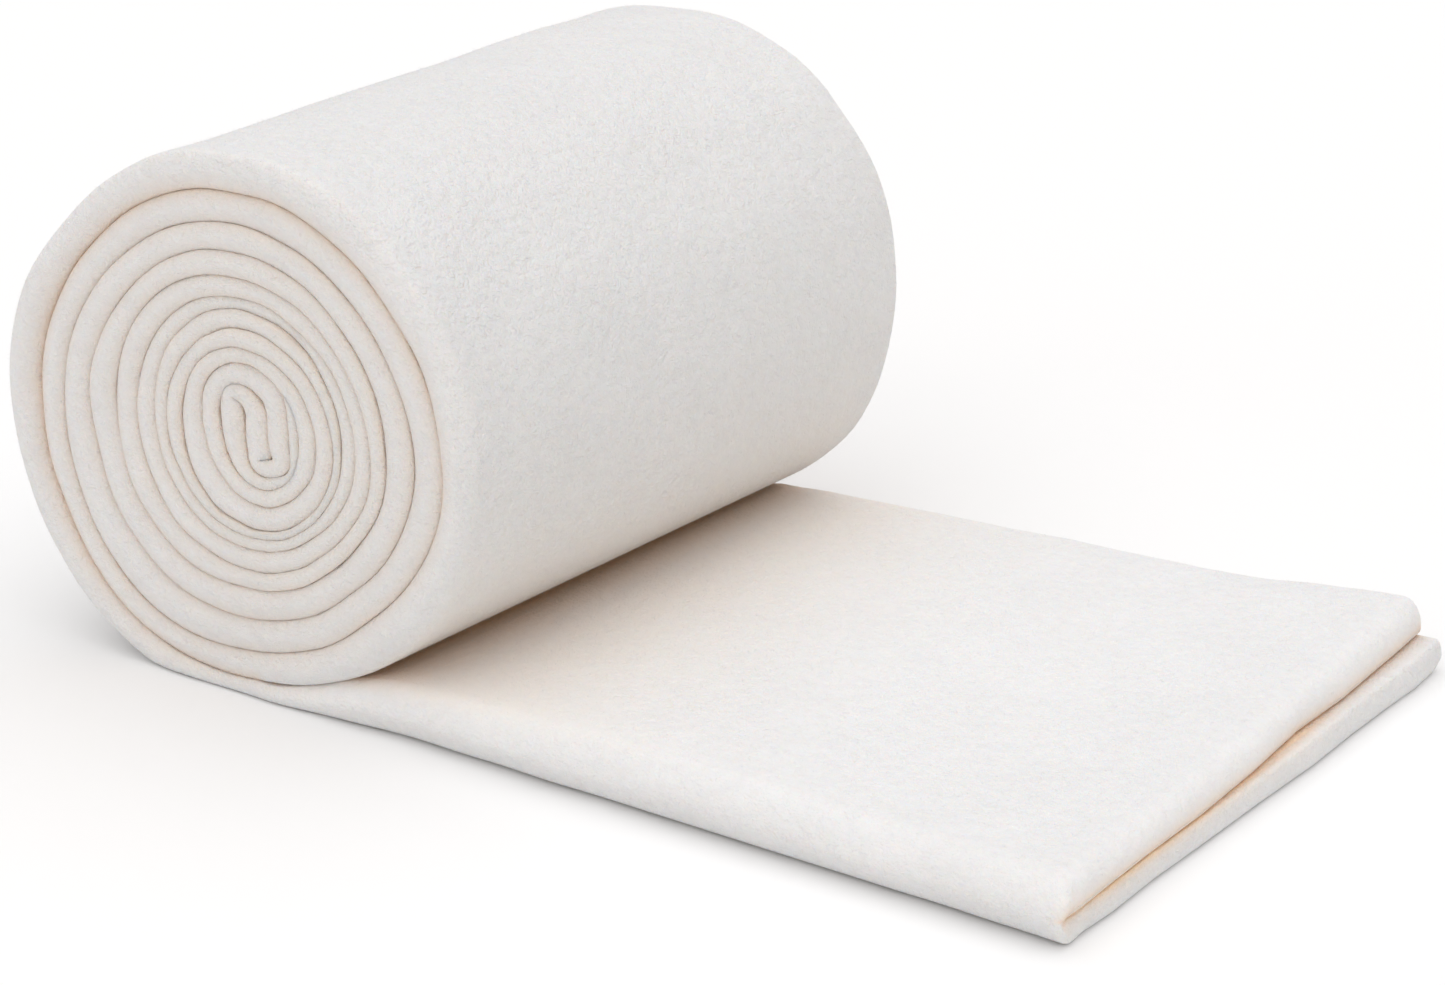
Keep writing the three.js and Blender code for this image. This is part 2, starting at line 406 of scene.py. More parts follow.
def turn_sections(turn_gap, apart):
    """All turns, from the heart out to the foot of the roll."""
    sections = []
    turns = INNERMOST
    while turns > 0:
        radius = wound_radius(turns)
        inside = wound_radius(turns + 1)
        clear = turn_gap / 2 if turns >= 1 else 0.0
        recess = along_table(RECESSES, turns * DIRECTIONS)
        outer = round_point(turns, radius - clear)
        inner = round_point(turns, inside + turn_gap / 2)
        sections.append(roll_section(outer, inner, recess, turns, apart))
        step = min(max(radius * STEP_PER_RADIUS, SHORTEST_STEP), LONGEST_STEP)
        turns -= step / (2 * math.pi * radius)
    return sections


def loose_places(length):
    """Places along the loose end, closer together where its cut end is rounded."""
    start = LOOSE_END[0].x
    count = int((length - start) / LOOSE_STEP)
    places = [start + (length - start) * step / count for step in range(count - 1)]
    rounding = [length - step * CUT_RADIUS for step in reversed(CUT_STEPS)]
    return [place for place in places if place < rounding[0] - 1.5] + rounding


def loose_sections():
    """The stretch that lies flat, out to its cut end."""
    columns = dict(zip(Loose._fields, zip(*LOOSE_END)))
    rows = columns["x"]
    sections = []
    for x in loose_places(rows[-1]):
        index = max(n for n in range(len(rows) - 1) if rows[n] <= x)
        place = index + (x - rows[index]) / (rows[index + 1] - rows[index])
        fold, inside, side, apart = (along_table(columns[name], place) for name in Loose._fields[1:])
        open_x = x * (1 + LOOSE_GROWTH) + OPEN_SIDE_SHIFT
        sag = inside - (fold + (side - fold) * INSIDE_SHARE)
        recess = 0.3 + 0.9 * smooth((x - rows[0]) / 60)
        turns = -x / rows[-1]
        below, above = (x, 0.0), (x, fold)
        below_open, above_open = (open_x, 0.0), (open_x, side)
        sections.append(Section(
            below, above, below_open, above_open, sag, LOOSE_LAYER_GAP, apart, recess, turns
        ))
    return sections


def travelled(sections):
    """Distance along the sheet from its inner end to each section."""
    middles = [((s.outer[0] + s.inner[0]) / 2, (s.outer[1] + s.inner[1]) / 2) for s in sections]
    steps = [math.dist(a, b) for a, b in zip(middles, middles[1:])]
    return np.concatenate([[0.0], np.cumsum(steps)])


class FoldedSheet:
    """The whole folded sheet as rows of points: the outside of each section, and the slit in it."""

    def __init__(self, sections, settings):
        self.sections = sections
        self.settings = settings
        self.along = travelled(sections)[:, None]
        self.to_end = self.along[-1] - self.along
        self.turns = self.column("turns")
        self.sag = self.column("sag")
        self.apart = self.column("apart")
        self.apart_open = self.column("apart_open")
        self.recess = self.column("recess")
        names = ("outer", "inner", "outer_open", "inner_open")
        self.corner = {name: self.column(name) for name in names}
        self.half = np.linalg.norm(self.corner["outer"] - self.corner["inner"], axis=2) / 2

    def column(self, name):
        """One named value of all sections, a row for each."""
        return np.array([getattr(section, name) for section in self.sections])[:, None]

    def faces_at(self, share):
        """The outer and inner face of each section at shares of the width."""
        share = share[..., None]
        outer = self.corner["outer"] + (self.corner["outer_open"] - self.corner["outer"]) * share
        inner = self.corner["inner"] + (self.corner["inner_open"] - self.corner["inner"]) * share
        share = share[..., 0]
        near = 1 - (1 - np.minimum(share / INSIDE_SHARE, 1)) ** 2
        far = 1 - (np.maximum(share - INSIDE_SHARE, 0) / (1 - INSIDE_SHARE)) ** 2
        inner[..., 1] += self.sag * near * far
        return outer, inner

    def place(self, y, depth, slit):
        """Points of the sheet, by distance across it and depth from its outer (0) to its inner (1) face."""
        share = y / FOLDED_WIDTH
        outer, inner = self.faces_at(np.clip(share, 0, 1))
        gap = self.apart + (self.apart_open - self.apart) * smooth(share) ** 2
        thickness = np.linalg.norm(outer - inner, axis=2)
        if slit:
            depth = 0.5 + depth * gap / 2 / thickness
        flat = outer + (inner - outer) * depth[..., None]
        return np.stack([flat[..., 0], y, flat[..., 1]], axis=2)

    def open_edge(self, layer):
        """How far each section of a layer stops short of the open side."""
        ripple = waves(OPEN_RIPPLE, self.along, layer * RIPPLE_SHIFT)
        return OPEN_EDGE_BACK + ripple + waves(FINE_RIPPLE, self.along, layer * FINE_RIPPLE_SHIFT)

    def leg(self, layer):
        """One layer from its open edge to the fold: distances across for its face and for the slit."""
        side = self.fold_side(layer)
        edge = FOLDED_WIDTH - self.open_edge(layer)
        radius = self.half * OPEN_EDGE_ROUNDING
        rounding = edge - radius * np.array(EDGE_STEPS)
        start = edge - radius
        shares = np.array(LEG_SHARES)
        face = start + (self.front + side - start) * shares
        slit = start + (self.slit_end - start) * shares
        return np.hstack([rounding, face]), np.hstack([rounding, slit])

    def end_rounding(self, upper_radius, lower_radius, upper):
        """How thick each layer still is towards the ends of the sheet, on one of its sides."""
        share = np.ones((len(self.sections), len(upper)))
        for n, step in enumerate(CUT_STEPS):
            reach = step * CUT_RADIUS
            thick = (rounded(min(reach / upper_radius, 1)), rounded(min(reach / lower_radius, 1)))
            share[-1 - n] = np.where(upper, *thick)
        for n, step in enumerate(INNER_END_STEPS):
            share[n] = rounded(step)
        return share

    def fold_side(self, layer):
        """How deep the fold's rounding reaches on the outer (0) or inner (1) side."""
        depth = self.half * self.settings.fold_depth
        outermost = smooth(1.1 - self.turns) * smooth((self.turns + 0.02) * 25)
        loose = smooth(-self.turns * (12 if layer == 0 else 5))
        if layer == 0:
            outside = list(OUTSIDE_ROUNDING) + [OUTSIDE_ROUNDING.bottom]
            places = np.clip(self.turns[:, 0], 0, 1) * DIRECTIONS
            rounding = [along_table(outside, place) for place in places]
            share = smooth((1.0 - self.turns) * 8)
            more = (np.array(rounding)[:, None] - 1) * share
        else:
            around_left = np.exp(-((self.turns - INNER_ROUND_TURN) / INNER_ROUND_SPREAD) ** 2)
            more = INNER_ROUND_MORE * around_left * outermost
        return depth * (1 + more * (1 - loose) + (LOOSE_FOLD_ROUNDING[layer] - 1) * loose)

    def near_cut(self):
        """1 at the cut end, fading out along the loose end."""
        return smooth(1 - self.to_end / CUT_FADE) * (self.turns < 0)

    def stations(self):
        """Distances across and depths of the stations round each section, outside and in the slit."""
        outer_face, outer_slit = self.leg(0)
        inner_face, inner_slit = self.leg(1)
        angles = np.pi * np.arange(FOLD_STEPS + 1) / FOLD_STEPS
        power = 2 / self.settings.fold_squareness
        cosine = np.sign(np.cos(angles)) * np.abs(np.cos(angles)) ** power
        sine = np.abs(np.sin(angles)) ** power
        deep = np.where(angles < np.pi / 2, self.fold_side(0), self.fold_side(1))
        fold_face = self.front + deep * (1 - sine)
        fold_slit = self.slit_end - SLIT_END_ROUNDING * np.sin(angles)
        face_y = np.hstack([outer_face, fold_face, inner_face[:, ::-1]])
        slit_y = np.hstack([outer_slit, fold_slit, inner_slit[:, ::-1]])
        legs = outer_face.shape[1]
        face_depth = np.concatenate([np.zeros(legs), 0.5 - 0.5 * cosine, np.ones(legs)])
        slit_side = np.concatenate([-np.ones(legs), -np.cos(angles), np.ones(legs)])
        return face_y, slit_y, face_depth, slit_side

    def thin_edges(self, face, slit):
        """Rounds the open edges and both ends, by drawing outside and slit together there."""
        edge = [rounded(step) for step in EDGE_STEPS]
        plain = np.ones(len(self.depth) - 2 * len(edge))
        keep = np.concatenate([edge, plain, edge[::-1]])
        upper = self.depth > 0.5
        keep_face = keep * self.end_rounding(UPPER_ROUNDING[0], LOWER_ROUNDING[0], upper)
        keep_slit = keep * self.end_rounding(UPPER_ROUNDING[1], LOWER_ROUNDING[1], upper)
        pivot = np.where(upper, UPPER_PIVOT, LOWER_PIVOT)[None, :, None]
        middle = face + (slit - face) * pivot
        from_face = np.linalg.norm(face - middle, axis=2)
        self.slit_drop = (1 - keep_slit) * np.linalg.norm(slit - middle, axis=2)
        self.face_drop = (1 - keep) * from_face
        self.lip_distance = from_face * keep_face
        face = middle + (face - middle) * keep_face[..., None]
        slit = middle + (slit - middle) * keep_slit[..., None]
        return face, slit

    def build(self):
        """Points of the outside and of the slit, section by section."""
        self.front = self.recess + waves(FOLD_RIPPLE, self.along) + FOLD_BACK
        self.slit_end = self.front + self.half * (SLIT_END - SLIT_LONGER_AT_CUT * self.near_cut())
        face_y, slit_y, self.depth, slit_side = self.stations()
        self.inner = self.depth >= 0.5
        rows = len(self.sections)
        face = self.place(face_y, np.tile(self.depth, (rows, 1)), slit=False)
        slit = self.place(slit_y, np.tile(slit_side, (rows, 1)), slit=True)
        self.swell(face)
        face, slit = self.thin_edges(face, slit)
        for points, depth in ((face, self.depth), (slit, (slit_side + 1) / 2)):
            self.shape_cut_end(points, depth)
            points[..., 1] += FOLD_SIDE
            points[..., 2] = np.maximum(points[..., 2], 0.0)
        return face, slit

    def swell(self, face):
        """Soft hollows and swellings of the outermost turn's outside and the loose end's top."""
        y = face[..., 1]
        amount = waves(BROAD_SWELL, self.along, y) + waves(SMALL_SWELL, self.along, y)
        amount = amount * self.settings.surface_wave / MM
        shown = smooth((0.9 - self.turns) * 14) * smooth((self.turns - 0.05) * 14)
        outward = self.corner["outer"] - self.corner["inner"]
        outward = outward / np.linalg.norm(outward, axis=2)[..., None]
        roll_part = (amount * shown * (1 - self.depth) ** 2)[..., None] * outward
        face[..., 0] += roll_part[..., 0]
        face[..., 2] += roll_part[..., 1]
        beyond = smooth((face[..., 0] - NIP_X - 8) / 30) * (self.turns < 0)
        face[..., 2] += amount * beyond * self.depth ** 2

    def shape_cut_end(self, points, depth):
        """Scallops, the reach of the lower layer and the corners, faded out along the loose end."""
        y = points[..., 1]
        upper = smooth(depth * 2 - 0.5)
        lower = 1 - upper
        ragged = (waves(UPPER_SCALLOP, y) + waves(UPPER_FRAY, y)) * upper
        ragged = ragged + (waves(LOWER_SCALLOP, y) + waves(LOWER_FRAY, y)) * lower
        reach = smooth(y / FOLDED_WIDTH) * LOWER_REACH * lower
        into = np.clip(y - (FOLDED_WIDTH - CORNER_RADIUS), 0, CORNER_RADIUS)
        corner = CORNER_RADIUS - np.sqrt(CORNER_RADIUS ** 2 - into ** 2)
        near = np.clip(NEAR_CORNER - y, 0, NEAR_CORNER)
        near_corner = NEAR_CORNER - np.sqrt(NEAR_CORNER ** 2 - near ** 2)
        change = ragged * smooth(y / 12) + reach - corner * (0.55 + 0.45 * upper) - near_corner
        points[..., 0] += self.near_cut() * change

    def painted_shade(self, face, slit):
        """Painted shade at each point: 0 in the open, 1 deep in a crease, more in the nip and the cut."""
        in_fold = face[..., 1] - FOLD_SIDE < (self.front + self.fold_side(0) * 2)
        lip, in_slit = self.cut_shade(slit)
        on_face = np.maximum(self.turn_shade(in_fold), self.nip_shade(face))
        # Painted shade also darkens the rounded open edges, fading with their drop.
        at_open_side = np.exp(-self.face_drop / OPEN_CREASE)
        seen = in_fold | (self.turns < 0) | self.outermost_face()
        return np.maximum(np.where(seen, on_face, at_open_side), lip), in_slit

    def outermost_face(self):
        """Where the outer face of the outermost turn and of the loose end is."""
        return (self.turns < 1) & ~self.inner

    def from_crease(self):
        """Distance of each point of a fold from the crease beside it."""
        return (1 - np.abs(2 * self.depth - 1)) * self.half

    def crease_shade(self):
        """Painted shade: 1 in the creases, fading out from them."""
        return np.exp(-self.from_crease() / self.settings.crease_width * MM)

    def turn_shade(self, in_fold):
        """Painted shade in the creases between turns, in the broad band on the left and on the folded side.
        """
        groove = INNER_CREASE + (1 - INNER_CREASE) * smooth(2.1 - self.turns - self.inner)
        foot = np.exp(-(self.turns / FOOT_SPREAD) ** 2) * self.inner
        covered = (self.turns >= 0) & ~self.outermost_face()
        creases = self.crease_shade() * groove * (1 - FOOT_PALER * foot) * covered
        around_left = np.exp(-((self.turns - BROAD_TURN) / BROAD_SPREAD) ** 2)
        inside_outermost = (self.turns < 1) & (self.turns > 0) & self.inner
        band = BROAD_SHADE * around_left * np.exp(-self.from_crease() / BROAD_DEPTH) * inside_outermost
        return np.maximum(creases + END_SHADE * (self.turns > 0) * in_fold, band)

    def nip_shade(self, face):
        """Painted shade on both sides of the nip."""
        behind_end = self.behind_end(face)
        beyond, around = self.from_nip(face)
        on_top = np.exp(-beyond / NIP_REACH) * (self.turns < 0) * self.inner
        on_top = on_top * np.maximum(behind_end, self.crease_shade() * NIP_FOLD_SHARE)
        on_roll = np.exp(-around / NIP_REACH) * (self.turns > 0) * self.outermost_face() * behind_end
        return NIP_SHADE * np.maximum(on_top, on_roll)

    def cut_shade(self, slit):
        """Painted shade on the lip at the cut end, and in the slit where it shows there."""
        reach = smooth((slit[..., 1] - FOLD_SIDE) / FOLDED_WIDTH) * LOWER_REACH * ~self.inner
        shown = np.maximum(reach - self.to_end, 0) + self.slit_drop
        lip = np.exp(-self.lip_distance / LIP_SHADE_DEPTH - self.to_end) * (self.turns < 0) * self.inner
        return LIP_SHADE * lip, CUT_SHADE * np.exp(-shown / CUT_SHADE_DEPTH)

    def behind_end(self, face):
        """0 on the rounded sides of the roll and of the loose end, and 1 further in."""
        inward = face[..., 1] - FOLD_SIDE - self.front
        from_open = FOLDED_WIDTH + FOLD_SIDE - face[..., 1]
        return smooth((inward - 1.0) / 9) * smooth((from_open - 1.5) / 6)

    def from_nip(self, face):
        """Distances from the nip: along the loose end, and round the outermost turn."""
        beyond = np.maximum(face[..., 0] - NIP_X, 0)
        around = np.maximum(NIP_TURN - self.turns, 0) * 2 * math.pi * OUTER_RADIUS
        return beyond, around

    def painted_glow(self, face, slit):
        """How much painted glow each point has, a lighter warm colour for light bounced into the nip,
        fading out on both sides.
        """
        beyond, around = self.from_nip(face)
        on_top = np.exp(-(beyond / GLOW_REACH) ** 2) * (self.turns < 0) * self.inner
        on_roll = np.exp(-(around / GLOW_REACH) ** 2) * (self.turns > 0) * self.outermost_face()
        return (on_top + on_roll) * self.behind_end(face), np.zeros(slit.shape[:2])

    def nap(self, slit):
        """How rough the felt is: full on the roll, and smoother where the loose end was pressed flat."""
        pressed = smooth(self.depth * 2 - 0.6) * smooth(-self.turns * 8)
        return 1 - (1 - LOOSE_NAP) * pressed, np.ones(slit.shape[:2])


def folded_sheet(settings):
    """The sheet with the points of its outside and of its slit."""
    apart = settings.layer_gap / MM
    sections = core_sections(apart) + turn_sections(settings.turn_gap / MM, apart) + loose_sections()
    sheet = FoldedSheet(sections, settings)
    face, slit = sheet.build()
    return sheet, face, slit


def closed_mesh(name, face, slit, values):
    """Joins rows of outside and slit points into one closed skin, with its named values as attributes."""
    rows, stations = face.shape[:2]
    loops = np.concatenate([face, slit[:, ::-1]], axis=1)
    size = 2 * stations
    count = np.arange(size)
    quads = []
    for row in range(rows - 1):
        here = row * size + count
        there = here + size
        quads.append(np.stack([here, there, np.roll(there, -1), np.roll(here, -1)], axis=1))
    pairs = np.arange(stations - 1)
    for base, turned in ((0, False), ((rows - 1) * size, True)):
        cap = np.stack([pairs, pairs + 1, size - 2 - pairs, size - 1 - pairs], axis=1) + base
        quads.append(cap[:, ::-1] if turned else cap)
    mesh = bpy.data.meshes.new(name)
    mesh.from_pydata((loops.reshape(-1, 3) * MM).tolist(), [], np.concatenate(quads).tolist())
    for attribute, (face_value, slit_value) in values.items():
        data = np.concatenate([face_value, slit_value[:, ::-1]], axis=1).ravel()
        layer = mesh.attributes.new(attribute, "FLOAT", "POINT")
        layer.data.foreach_set("value", data.astype(np.float32))
    mesh.update()
    return mesh


def surface_spots(face, chosen, count, generator):
    """Random places spread evenly over the chosen cells of the sheet's outside, with their normals."""
    corners = (face[:-1, :-1], face[1:, :-1], face[1:, 1:], face[:-1, 1:])
    normal = np.cross(corners[2] - corners[0], corners[3] - corners[1])
    area = np.linalg.norm(normal, axis=2)
    weight = (area * chosen[:-1, :-1]).ravel()
    picked = generator.choice(weight.size, count, p=weight / weight.sum())
    cell = np.unravel_index(picked, area.shape)
    u, v = generator.random((2, count, 1))
    shares = ((1 - u) * (1 - v), u * (1 - v), u * v, (1 - u) * v)
    spots = sum(corner[cell] * share for corner, share in zip(corners, shares))
    return spots, normal[cell] / area[cell][:, None]


def unit(vectors):
    """The same directions with a length of 1."""
    return vectors / np.linalg.norm(vectors, axis=1)[:, None]


def fibre_mesh(name, spots, normals, settings, generator):
    """Loose fibre ends as slim closed spikes of four triangles, all joined in one mesh."""
    count = len(spots)
    lean = settings.lean * np.sqrt(generator.random((count, 1)))
    sideways = unit(np.cross(normals, generator.normal(size=(count, 3))))
    direction = normals * np.cos(lean) + sideways * np.sin(lean)
    first = unit(np.cross(direction, generator.normal(size=(count, 3))))
    second = np.cross(direction, first)
    span = settings.longest - settings.shortest
    length = (settings.shortest + span * generator.random((count, 1)) ** 2.5) / MM
    radius = settings.thickness / 2 / MM
    root = spots - normals * FIBRE_ROOT
    points = [root + (first * math.cos(a) + second * math.sin(a)) * radius for a in FIBRE_ANGLES]
    points.append(spots + direction * length)
    points = np.stack(points, axis=1)
    points = points[points[..., 2].min(axis=1) > 0].reshape(-1, 3)
    corners = 4 * np.arange(len(points) // 4)
    faces = (np.array(FIBRE_FACES)[None] + corners[:, None, None]).reshape(-1, 3)
    mesh = bpy.data.meshes.new(name)
    mesh.from_pydata((points * MM).tolist(), [], faces.tolist())
    mesh.update()
    return mesh


def new_object(name, mesh, material):
    """Links a mesh at the origin, smooth all over, with its material."""
    piece = bpy.data.objects.new(name, mesh)
    bpy.context.scene.collection.objects.link(piece)
    mesh.materials.append(material)
    mesh.polygons.foreach_set("use_smooth", [True] * len(mesh.polygons))
    return piece


def set_inputs(node, **inputs):
    """Sets a shader node's named inputs."""
    for name, value in inputs.items():
        node.inputs[name.replace("_", " ")].default_value = value


def attribute_value(material, name):
    """The value of one of the sheet's named attributes."""
    node = material.node_tree.nodes.new("ShaderNodeAttribute")
    node.attribute_name = name
    return node.outputs["Fac"]


def opaque(colour):
    """A colour with full cover."""
    return tuple(colour) + (1.0,)


def noise_value(material, coordinates, scale, detail, roughness=0.55):
    """A noise texture's value, of a given feature size in metres."""
    node = material.node_tree.nodes.new("ShaderNodeTexNoise")
    set_inputs(node, Scale=1 / scale, Detail=detail, Roughness=roughness)
    material.node_tree.links.new(coordinates, node.inputs["Vector"])
    return node.outputs["Fac"]


def scaled(material, value, low, high, to_low, to_high):
    """A value mapped from one range to another."""
    node = material.node_tree.nodes.new("ShaderNodeMapRange")
    set_inputs(node, From_Min=low, From_Max=high, To_Min=to_low, To_Max=to_high)
    material.node_tree.links.new(value, node.inputs["Value"])
    return node.outputs["Result"]


def combined(material, operation, first, second):
    """Two values put together by a math operation."""
    node = material.node_tree.nodes.new("ShaderNodeMath")
    node.operation = operation
    for socket, value in zip(node.inputs, (first, second)):
        if isinstance(value, (int, float)):
            socket.default_value = value
        else:
            material.node_tree.links.new(value, socket)
    return node.outputs[0]


def mixed_colour(material, factor, first, second):
    """Two colours mixed by a factor."""
    node = material.node_tree.nodes.new("ShaderNodeMix")
    node.data_type = "RGBA"
    material.node_tree.links.new(factor, node.inputs[0])
    for socket, value in ((node.inputs[6], first), (node.inputs[7], second)):
        if isinstance(value, tuple):
            socket.default_value = value
        else:
            material.node_tree.links.new(value, socket)
    return node.outputs[2]


def cloth_material(name, settings):
    """Needled felt: warm white, faint mottling, soft nubs, fibre haze, painted shade in creases and painted
    glow by the nip.
    """
    material = bpy.data.materials.new(name)
    material.use_nodes = True
    links = material.node_tree.links
    shader = material.node_tree.nodes["Principled BSDF"]
    place = material.node_tree.nodes.new("ShaderNodeTexCoord").outputs["Object"]
    nubs = noise_value(material, place, NUB_SIZE, 4.0, 0.62)
    fibres = noise_value(material, place, FIBRE_SIZE, 2.0)
    clouds = noise_value(material, place, CLOUD_SIZE, 2.0)
    mottle = combined(material, "ADD", scaled(material, nubs, 0.35, 0.65, 0.0, 0.55),
                      scaled(material, clouds, 0.35, 0.65, 0.0, 0.45))
    darker = opaque(c * MOTTLE_DARKER for c in settings.cloth_colour)
    toned = mixed_colour(material, mottle, opaque(settings.cloth_colour), darker)
    # Painted glow: a lighter warm colour beside the nip, standing in for light bounced into it.
    painted_glow = attribute_value(material, "painted_glow")
    toned = mixed_colour(material, painted_glow, toned, opaque(settings.painted_glow_colour))
    # Painted shade: warm colours that deepen into the creases, the nip and the cut end, standing in for
    # their shade.
    painted_shade = attribute_value(material, "painted_shade")
    for colour, start, full in (
        (settings.crease_edge_shade_colour, 0.0, CREASE_EDGE_SHADE),
        (settings.crease_shade_colour, CREASE_EDGE_SHADE, 1.0),
        (settings.nip_shade_colour, 1.0, NIP_SHADE),
    ):
        share = scaled(material, painted_shade, start, full, 0.0, 1.0)
        toned = mixed_colour(material, share, toned, opaque(colour))
    links.new(toned, shader.inputs["Base Color"])
    height = combined(material, "ADD", scaled(material, nubs, 0.3, 0.7, 0.0, 1.0),
                      scaled(material, fibres, 0.3, 0.7, 0.0, 0.35))
    height = combined(material, "MULTIPLY", height, attribute_value(material, "nap"))
    bump = material.node_tree.nodes.new("ShaderNodeBump")
    set_inputs(bump, Strength=settings.bump_strength, Distance=NUB_HEIGHT)
    links.new(height, bump.inputs["Height"])
    links.new(bump.outputs["Normal"], shader.inputs["Normal"])
    set_inputs(
        shader, Roughness=0.95, Specular_IOR_Level=0.15, Sheen_Weight=0.12, Sheen_Roughness=0.6,
        Subsurface_Weight=0.5, Subsurface_Radius=(1.0, 0.7, 0.5), Subsurface_Scale=0.0045
    )
    return material


FINE = {"unit": "LENGTH", "precision": 5}
COLOUR = {"subtype": "COLOR", "size": 3, "min": 0.0, "max": 1.0}


class BattingSheetSettings(bpy.types.PropertyGroup):
    """Sizes and colours of the folded sheet."""

    turn_gap: bpy.props.FloatProperty(
        name="Turn gap", description="Space between one turn of the roll and the next",
        default=0.00002, min=0.0, **FINE)
    layer_gap: bpy.props.FloatProperty(
        name="Layer gap", description="Space between the two layers of the folded sheet in the roll",
        default=0.0003, min=0.0, **FINE)
    fold_depth: bpy.props.FloatProperty(
        name="Fold depth", description="Depth of the rounded fold, as a share of half the folded thickness",
        default=0.42, min=0.2, max=1.2)
    fold_squareness: bpy.props.FloatProperty(
        name="Fold squareness", description="2 is a round fold, less a shallower one and more a fuller one",
        default=1.62, min=1.2, max=5.0)
    surface_wave: bpy.props.FloatProperty(
        name="Surface wave", description="Height of the soft hollows and swellings on the outside",
        default=0.0006, min=0.0, **FINE)
    # How far the painted warm shade reaches from a crease.
    crease_width: bpy.props.FloatProperty(
        name="Crease width", description="How far the warm tone reaches from a crease",
        default=0.0021, min=0.0001, **FINE)
    bump_strength: bpy.props.FloatProperty(
        name="Nub strength", description="How strongly the nubs of the felt show",
        default=0.85, min=0.0, max=1.0, subtype="FACTOR")
    cloth_colour: bpy.props.FloatVectorProperty(
        name="Cloth colour", description="Colour of the open faces of the felt",
        default=(0.80, 0.798, 0.80), **COLOUR)
    # Painted shade beside a crease.
    crease_edge_shade_colour: bpy.props.FloatVectorProperty(
        name="Crease edge colour", description="Colour of the felt beside a crease",
        default=(0.785, 0.72, 0.67), **COLOUR)
    # Painted shade deep in the creases.
    crease_shade_colour: bpy.props.FloatVectorProperty(
        name="Crease colour", description="Colour deep in the creases",
        default=(0.80, 0.63, 0.50), **COLOUR)
    # Painted glow: a lighter colour near the nip, standing in for light bounced into it.
    painted_glow_colour: bpy.props.FloatVectorProperty(
        name="Glow colour", description="Colour of the open faces close to the nip",
        default=(0.95, 0.89, 0.82), **COLOUR)
    # Painted shade where the roll meets the loose end.
    nip_shade_colour: bpy.props.FloatVectorProperty(
        name="Nip colour", description="Colour where the roll meets the loose end",
        default=(0.98, 0.70, 0.45), **COLOUR)


class BattingFuzzSettings(bpy.types.PropertyGroup):
    """The loose fibre ends that stand off the felt."""

    roll_count: bpy.props.IntProperty(
        name="On the roll", description="Fibre ends on the outermost turn",
        default=48000, min=0)
    end_count: bpy.props.IntProperty(
        name="On its end", description="Fibre ends on the folded end of the roll",
        default=30000, min=0)
    loose_count: bpy.props.IntProperty(
        name="On the loose end", description="Fibre ends on the stretch that lies flat",
        default=30000, min=0)
    shortest: bpy.props.FloatProperty(
        name="Shortest", description="Length of the shortest fibre end",
        default=0.0003, min=0.0001, **FINE)
    longest: bpy.props.FloatProperty(
        name="Longest", description="Length of the longest fibre end",
        default=0.0016, min=0.0002, **FINE)
    thickness: bpy.props.FloatProperty(
        name="Thickness", description="Thickness of a fibre end at its root",
        default=0.00008, min=0.00002, **FINE)
    lean: bpy.props.FloatProperty(
        name="Lean", description="How far the fibre ends lean over",
        default=math.radians(80), subtype="ANGLE")
    seed: bpy.props.IntProperty(name="Seed", description="Start of the random spread", default=7)


class BattingStageSettings(bpy.types.PropertyGroup):
    """Floor, lights and camera."""

    floor_size: bpy.props.FloatProperty(
        name="Floor size", description="Side of the square floor",
        default=40.0, unit="LENGTH")
    sky_strength: bpy.props.FloatProperty(
        name="Sky strength", description="Brightness of the even white surroundings",
        default=0.42, min=0.0)
    key_strength: bpy.props.FloatProperty(
        name="Key strength", description="Strength of the wide soft light above",
        default=2.1, min=0.0)
    key_softness: bpy.props.FloatProperty(
        name="Key softness", description="How wide the light above is, seen from the roll",
        default=math.radians(100), subtype="ANGLE")
    key_azimuth: bpy.props.FloatProperty(
        name="Key azimuth", description="Where the light stands, from the folded side",
        default=math.radians(60), subtype="ANGLE")
    key_elevation: bpy.props.FloatProperty(
        name="Key elevation", description="How high the light stands",
        default=math.radians(84), subtype="ANGLE")
    bounce_strength: bpy.props.FloatProperty(
        name="Bounce strength", description="Strength of the low warm reflector on the right",
        default=0.24, min=0.0)
    bounce_azimuth: bpy.props.FloatProperty(
        name="Bounce azimuth", description="Where the reflector stands, from the folded side",
        default=math.radians(72), subtype="ANGLE")
    bounce_elevation: bpy.props.FloatProperty(
        name="Bounce elevation", description="How high the reflector stands",
        default=math.radians(7), subtype="ANGLE")
    fill_strength: bpy.props.FloatProperty(
        name="Fill strength", description="Strength of the low soft light on the folded end",
        default=0.60, min=0.0)
    fill_azimuth: bpy.props.FloatProperty(
        name="Fill azimuth", description="Where the fill stands, from the folded side",
        default=math.radians(0), subtype="ANGLE")
    fill_elevation: bpy.props.FloatProperty(
        name="Fill elevation", description="How high the fill stands",
        default=math.radians(12), subtype="ANGLE")
    lens: bpy.props.FloatProperty(
        name="Lens", description="Focal length of the camera",
        default=57.88, unit="CAMERA")


class OBJECT_OT_add_batting_sheet(bpy.types.Operator):
    """Add the folded and rolled sheet in place of the solids of the roll and its loose end"""

    bl_idname = "object.add_batting_sheet"
    bl_label = "Add Batting Sheet"

    def execute(self, context):
        settings = context.scene.batting_sheet
        sheet, face, slit = folded_sheet(settings)
        # Painted shade and painted glow for the colour, and the roughness of the nubs.
        values = {
            "painted_shade": sheet.painted_shade(face, slit),
            "painted_glow": sheet.painted_glow(face, slit),
            "nap": sheet.nap(slit),
        }
        mesh = closed_mesh("batting_sheet", face, slit, values)
        piece = new_object("batting_sheet", mesh, cloth_material("felted_batting", settings))
        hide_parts(ROLL_NODE, LOOSE_NODE)
        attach(piece, "root")
        return {"FINISHED"}


